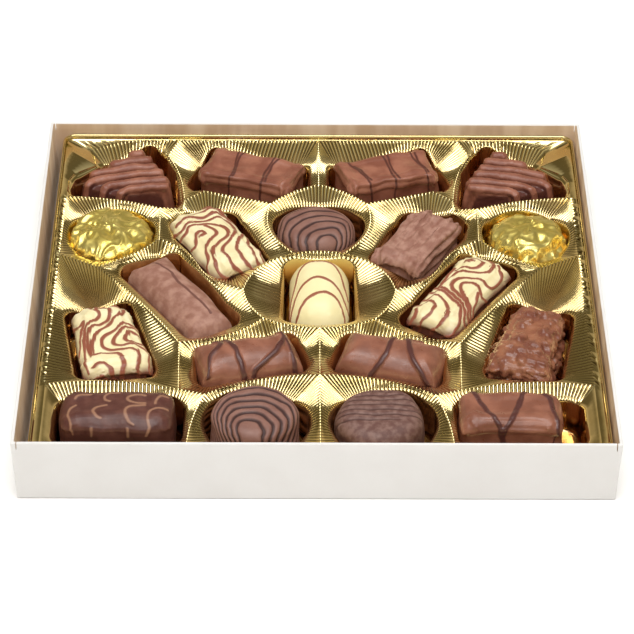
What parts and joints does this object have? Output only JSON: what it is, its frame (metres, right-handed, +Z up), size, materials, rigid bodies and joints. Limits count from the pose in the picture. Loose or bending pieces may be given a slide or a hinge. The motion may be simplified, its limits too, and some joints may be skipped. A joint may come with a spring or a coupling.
{
  "type": "box of chocolate pralines",
  "caption": "Open shallow white card box with a ribbed gold tray whose pockets each hold a chocolate praline.",
  "frame": {"origin": "middle of the carton's underside", "axes": "+Z up, +Y towards the back row, +X to the right of someone facing the front wall"},
  "size_m": [0.2126, 0.21, 0.0243],
  "materials": {
    "carton_card": "smooth white coated card, grey brown inside",
    "gold_plastic": "thin formed plastic with a mirror gold coat, ribbed",
    "milk_chocolate": "satin milk chocolate coat",
    "dusky_chocolate": "satin darker milk chocolate coat",
    "pale_chocolate": "dull pale brown chocolate coat",
    "nutty_chocolate": "lumpy milk chocolate coat over chopped nuts",
    "marbled_chocolate": "white chocolate marbled with milk chocolate lines",
    "white_chocolate": "white chocolate with thin milk chocolate lines",
    "gold_foil": "crumpled thin gold foil"
  },
  "bodies": {
    "root": {"carton": "carton_card", "gold_tray": "gold_plastic", "praline_01": "milk_chocolate", "praline_02": "milk_chocolate", "praline_03": "milk_chocolate", "praline_04": "milk_chocolate", "praline_05": "gold_foil", "praline_06": "marbled_chocolate", "praline_07": "dusky_chocolate", "praline_08": "pale_chocolate", "praline_09": "gold_foil", "praline_10": "pale_chocolate", "praline_11": "white_chocolate", "praline_12": "marbled_chocolate", "praline_13": "marbled_chocolate", "praline_14": "milk_chocolate", "praline_15": "milk_chocolate", "praline_16": "nutty_chocolate", "praline_17": "dusky_chocolate", "praline_18": "dusky_chocolate", "praline_19": "dusky_chocolate", "praline_20": "milk_chocolate"}
  },
  "joints": []
}
